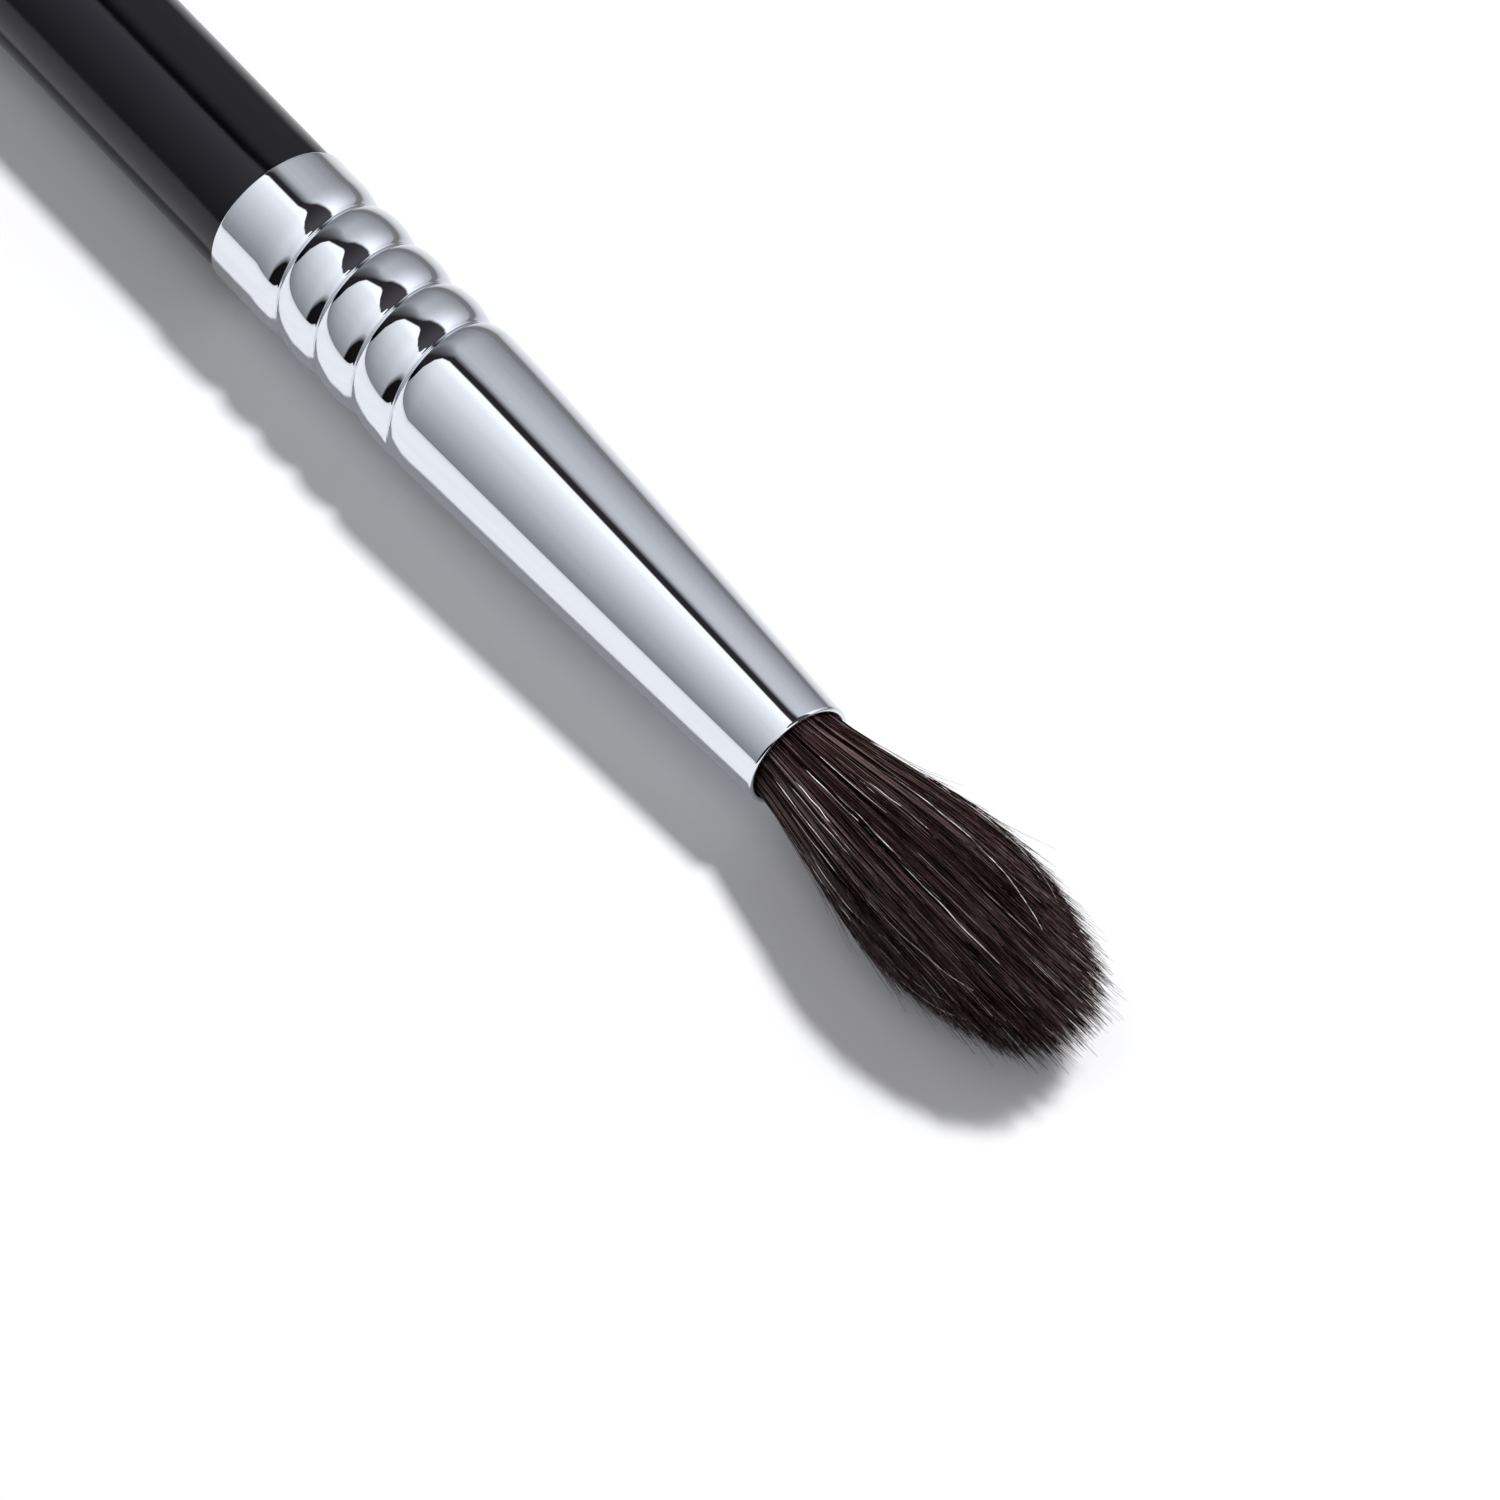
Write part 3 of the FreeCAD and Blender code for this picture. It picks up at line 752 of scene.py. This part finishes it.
def woundThread(shape, material):
    # A helix that climbs one thread's width each turn, carried by a small circle square to it
    count = shape["turns"] * shape["stepsEachTurn"]
    turn = np.linspace(0, 2 * np.pi * (shape["turns"] - 1), count)
    reach = shape["waistRadius"] + shape["threadRadius"]
    climb = tieLow.x + shape["threadRadius"] + turn / (2 * np.pi) * 2 * shape["threadRadius"]
    outward = np.stack([np.zeros(count), np.cos(turn), np.sin(turn)], axis=-1)
    path = np.stack([climb, reach * np.cos(turn), axisHeight + reach * np.sin(turn)], axis=-1)
    alongX = np.tile([1.0, 0, 0], (count, 1))
    angle = np.linspace(0, 2 * np.pi, shape["sides"], endpoint=False)
    level = np.cos(angle)[None, :, None] * alongX[:, None, :]
    climbing = np.sin(angle)[None, :, None] * outward[:, None, :]
    points = path[:, None, :] + shape["drawn"] * shape["threadRadius"] * (level + climbing)
    quads = gridQuads(count, shape["sides"])
    middles = path[[0, -1]]
    allPoints = np.concatenate([points.reshape(-1, 3), middles])
    fans = endFans(count * shape["sides"], shape["sides"])
    return putMesh("wound_thread", allPoints, quads, fans, material)


thread = woundThread(tieShape, waxedThread)
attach(thread, "root")
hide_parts("tie_thread")

for node, material in (("root_resin", resin), ("tenon_glue", glue)):
    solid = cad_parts[node]
    solid.data.materials.clear()
    solid.data.materials.append(material)
print("thread wound, resin and glue finished")


# Floor, light and camera

floorLook = {
    "reach": 1.5,             # metres each way
    "drop": 0.02 * mm,        # under the resting plane
    "colour": (0.775, 0.775, 0.78),
    "cloud": 14.0,            # faint clouding, per metre, and how dark it gets
    "clouded": 0.985,
    "roughness": 0.9,
    "lift": 0.03,             # a glow for the camera alone, which grows to 1 where the painted shade is deepest
    "fade": (0.005, 0.039),   # metres behind the brush over which painted shade darkens the floor for the chrome
    "darkest": 0.2,           # share of its colour that the painted shade leaves there
}


def layFloor(look):
    # A wide sheet just under the resting plane. Behind the brush its colour darkens, as the chrome shows it:
    # a painted shade for the reflections, and the glow keeps it white for the camera.
    reach = look["reach"]
    ends = [(-reach, -reach), (reach, -reach), (reach, reach), (-reach, reach)]
    points = np.array([(x, y, -look["drop"]) for x, y in ends])
    material, tree, shader = newMaterial("pale_floor")
    shader.inputs["Roughness"].default_value = look["roughness"]
    shader.inputs["Specular IOR Level"].default_value = 0.0
    place = addNode(tree, "ShaderNodeTexCoord")
    cloud = addNode(tree, "ShaderNodeTexNoise", {"Scale": look["cloud"]})
    tint = addNode(tree, "ShaderNodeValToRGB")
    setRamp(tint, [(0.3, [look["clouded"] * c for c in look["colour"]]), (0.7, look["colour"])])
    split = addNode(tree, "ShaderNodeSeparateXYZ")
    path = addNode(tree, "ShaderNodeLightPath")
    shade = addNode(tree, "ShaderNodeMix", data_type="RGBA")
    shade.inputs["B"].default_value = (*(look["darkest"] * c for c in look["colour"]), 1)
    tree.links.new(place.outputs["Object"], cloud.inputs["Vector"])
    tree.links.new(place.outputs["Object"], split.inputs["Vector"])
    tree.links.new(cloud.outputs["Fac"], tint.inputs["Fac"])
    behind = between(tree, split.outputs["Y"], *look["fade"])
    lift = between(tree, behind, 0.0, 1.0, look["lift"], 1.0)
    tree.links.new(behind, shade.inputs["Factor"])
    tree.links.new(tint.outputs["Color"], shade.inputs["A"])
    tree.links.new(shade.outputs["Result"], shader.inputs["Base Color"])
    glow = calc(tree, "MULTIPLY", path.outputs["Is Camera Ray"], lift)
    tree.links.new(glow, shader.inputs["Emission Strength"])
    shader.inputs["Emission Color"].default_value = (1, 1, 1, 1)
    floor = putMesh("pale_floor", points, np.array([[0, 1, 2, 3]]), np.zeros((0, 3), int), material)


# The studio is two soft panels over the brush with a dark gap between them. A direction is given by its
# angle from overhead in degrees, front negative and back positive, and by its x along the brush. A
# panel's edge is a list of (x, angle), its level one of (angle, level), and its gain one of (x, gain).
studio = {
    "frontTop": [(-0.95, -100), (-0.85, -27), (-0.75, -5), (-0.65, 4.5), (-0.45, 8), (-0.3, 11), (-0.22, 10),
                 (-0.05, 0.5), (0.15, -4), (0.5, -4), (0.65, 1), (0.75, 22), (0.9, 50)],
    "frontLow": [(-0.1, -105), (-0.05, -88), (0.05, -69), (0.15, -61.5), (0.25, -56), (0.4, -50), (0.6, -46)],
    "frontBlur": (2.0, 14.0),     # soft width of its top and of its low edge
    "frontLevels": [(-95, 0.23), (-80, 0.32), (-60, 0.48), (-30, 0.74), (-6, 1.02), (0, 1.19), (20, 1.24)],
    "frontGain": [(-0.9, 0.85), (-0.65, 0.95), (-0.5, 1.0), (-0.35, 1.0), (-0.05, 1.09), (0.1, 1.08),
                  (0.5, 0.97)],
    "backLow": [(-0.85, 0), (-0.65, 8), (-0.55, 13), (-0.45, 16), (-0.35, 20), (-0.25, 27.5), (-0.05, 34),
                (0.15, 38.5), (0.35, 43.5), (0.55, 50.5), (0.65, 55.5), (0.85, 75)],
    "backBlur": [(-0.85, 40), (-0.65, 26), (-0.55, 14), (-0.45, 8), (-0.25, 6), (0.05, 4), (0.55, 4.5),
                 (0.85, 14)],
    "backLevels": [(16, 0.44), (25, 0.485), (32, 0.57), (45, 0.54), (65, 0.425), (80, 0.33), (90, 0.255),
                   (100, 0.23)],
    "backGain": [(-0.95, 0.40), (-0.75, 0.66), (-0.6, 0.93), (-0.45, 1.0), (-0.35, 1.17), (-0.05, 1.95),
                 (0.35, 2.6)],
    "backFade": (55.0, 95.0, 0.35),   # angles over which that gain wears off, and what is left of it
    "gapLevels": [(-0.5, 0.022), (-0.15, 0.034), (0.15, 0.058), (0.5, 0.075)],
    "gapFade": (-55.0, -20.0, 0.11),  # and it is darker low in front
    "gapTint": (1.0, 0.9, 1.05),
    "brightTint": (0.985, 1.0, 1.03),
    "dimTint": (0.965, 1.0, 1.08),
    "softShare": 0.76,            # share of the panels that lights matt surfaces
    "keyAngle": 30.0,             # degrees from overhead, towards the back
    "keyTurn": 6.0,               # degrees from there towards the tuft
    "keyAim": (0.05, 0, 0),       # the place it is turned to, in metres
    "keyDistance": 0.9,
    "keySize": 0.12,
    "keyPower": 8.55,
}


def panelColour(level):
    # Cooler where it is dim. A ramp's colours stay under 1, so they are halved here and doubled again in
    # the panels' strength.
    share = min(level, 1.0)
    tints = zip(studio["brightTint"], studio["dimTint"])
    return [level / 2 * (share * bright + (1 - share) * dim) for bright, dim in tints]


def levelRamp(tree, value, stops):
    # A colour that follows stops of (angle, level)
    first, last = stops[0][0], stops[-1][0]
    ramp = addNode(tree, "ShaderNodeValToRGB")
    setRamp(ramp, [((angle - first) / (last - first), panelColour(level)) for angle, level in stops])
    tree.links.new(between(tree, value, first, last), ramp.inputs["Fac"])
    return ramp.outputs["Color"]


def hangWorld(look):
    # Reflections see the panels in full, matt surfaces are lit by a share of them, and the camera sees
    # plain white
    world = bpy.data.worlds.new("studio_panels")
    bpy.context.scene.world = world
    world.use_nodes = True
    tree = world.node_tree
    tree.nodes.clear()
    place = addNode(tree, "ShaderNodeTexCoord")
    split = addNode(tree, "ShaderNodeSeparateXYZ")
    tree.links.new(place.outputs["Generated"], split.inputs["Vector"])
    x, y, z = split.outputs
    angle = calc(tree, "MULTIPLY", calc(tree, "ARCTAN2", y, z), 180 / math.pi)
    path = addNode(tree, "ShaderNodeLightPath")
    share = between(tree, path.outputs["Is Glossy Ray"], 0.0, 1.0, look["softShare"], 1.0)

    def above(edge):
        # how many degrees a direction is above an edge
        return calc(tree, "SUBTRACT", angle, follow(tree, x, look[edge]))

    def panel(stops, gain, lit):
        shader = addNode(tree, "ShaderNodeBackground")
        tree.links.new(levelRamp(tree, angle, stops), shader.inputs["Color"])
        strength = calc(tree, "MULTIPLY", calc(tree, "MULTIPLY", share, lit), gain)
        tree.links.new(calc(tree, "MULTIPLY", strength, 2.0), shader.inputs["Strength"])
        return shader.outputs["Background"]

    def together(first, second):
        both = addNode(tree, "ShaderNodeAddShader")
        tree.links.new(first, both.inputs[0])
        tree.links.new(second, both.inputs[1])
        return both.outputs["Shader"]

    topBlur, lowBlur = look["frontBlur"]
    underTop = between(tree, above("frontTop"), -topBlur / 2, topBlur / 2, 1.0, 0.0)
    overLow = between(tree, above("frontLow"), -lowBlur / 2, lowBlur / 2)
    frontLit = calc(tree, "MULTIPLY", underTop, overLow)
    overBack = calc(tree, "DIVIDE", above("backLow"), follow(tree, x, look["backBlur"]))
    backLit = between(tree, overBack, 0.0, 1.0)
    fadeStart, fadeEnd, left = look["backFade"]
    extra = calc(tree, "SUBTRACT", follow(tree, x, look["backGain"]), 1.0)
    backGain = calc(tree, "MULTIPLY_ADD", extra, between(tree, angle, fadeStart, fadeEnd, 1.0, left), 1.0)
    panels = together(panel(look["frontLevels"], follow(tree, x, look["frontGain"]), frontLit),
                      panel(look["backLevels"], backGain, backLit))
    lowStart, lowEnd, least = look["gapFade"]
    gap = addNode(tree, "ShaderNodeBackground", {"Color": (*look["gapTint"], 1)})
    gapLevel = calc(tree, "MULTIPLY", follow(tree, x, look["gapLevels"]),
                    between(tree, angle, lowStart, lowEnd, least, 1.0))
    tree.links.new(calc(tree, "MULTIPLY", gapLevel, share), gap.inputs["Strength"])
    white = addNode(tree, "ShaderNodeBackground", {"Color": (1, 1, 1, 1), "Strength": 1.0})
    mix = addNode(tree, "ShaderNodeMixShader")
    out = addNode(tree, "ShaderNodeOutputWorld")
    tree.links.new(path.outputs["Is Camera Ray"], mix.inputs["Fac"])
    tree.links.new(together(panels, gap.outputs["Background"]), mix.inputs[1])
    tree.links.new(white.outputs["Background"], mix.inputs[2])
    tree.links.new(mix.outputs["Shader"], out.inputs["Surface"])


def hangKey(look):
    # A small round lamp high behind the brush, which draws the shadow in front of it
    lean, turn = math.radians(look["keyAngle"]), math.radians(look["keyTurn"])
    towards = Vector((math.sin(turn) * math.sin(lean), math.cos(turn) * math.sin(lean), math.cos(lean)))
    lamp = bpy.data.lights.new("key_light", "AREA")
    lamp.shape = "DISK"
    lamp.size = look["keySize"]
    lamp.energy = look["keyPower"]
    key = bpy.data.objects.new("key_light", lamp)
    key.location = Vector(look["keyAim"]) + towards * look["keyDistance"]
    key.rotation_euler = towards.to_track_quat("Z", "Y").to_euler()
    key.visible_camera = False
    key.visible_glossy = False     # the panels stand for it in the chrome
    bpy.context.scene.collection.objects.link(key)


view = {
    "azimuth": 51.7,
    "elevation": 55.0,
    "lens": 240.0,
    "sensor": 36.0,
    "distance": 459.1 * mm,
    "aim": 37.9 * mm,         # point of the centre line, from the ferrule's back edge
    "aimPixels": (22.2, 21.35),   # where it is seen, right and up from the image's middle
    "pixels": 1500,           # the image's width
}


def placeCamera(look):
    # Back from the aim by the distance, and aside so that the aim is seen at its place in the image
    turn, rise = math.radians(look["azimuth"]), math.radians(look["elevation"])
    back = Vector((math.sin(turn) * math.cos(rise), -math.cos(turn) * math.cos(rise), math.sin(rise)))
    right = Vector((math.cos(turn), math.sin(turn), 0))
    up = back.cross(right)
    pixel = look["distance"] * look["sensor"] / look["lens"] / look["pixels"]
    aim = Vector((backEdge + look["aim"], 0, axisHeight))
    aside = right * (pixel * look["aimPixels"][0]) + up * (pixel * look["aimPixels"][1])
    place = aim + back * look["distance"] - aside
    data = bpy.data.cameras.new("photo_view")
    data.sensor_width = look["sensor"]
    data.lens = look["lens"]
    data.clip_start = 0.01
    camera = bpy.data.objects.new("photo_view", data)
    camera.matrix_world = Matrix.Translation(place) @ Matrix((right, up, back)).transposed().to_4x4()
    bpy.context.scene.collection.objects.link(camera)
    bpy.context.scene.camera = camera


layFloor(floorLook)
hangWorld(studio)
hangKey(studio)
placeCamera(view)
bpy.context.scene.view_settings.view_transform = "Standard"
print("stage set")
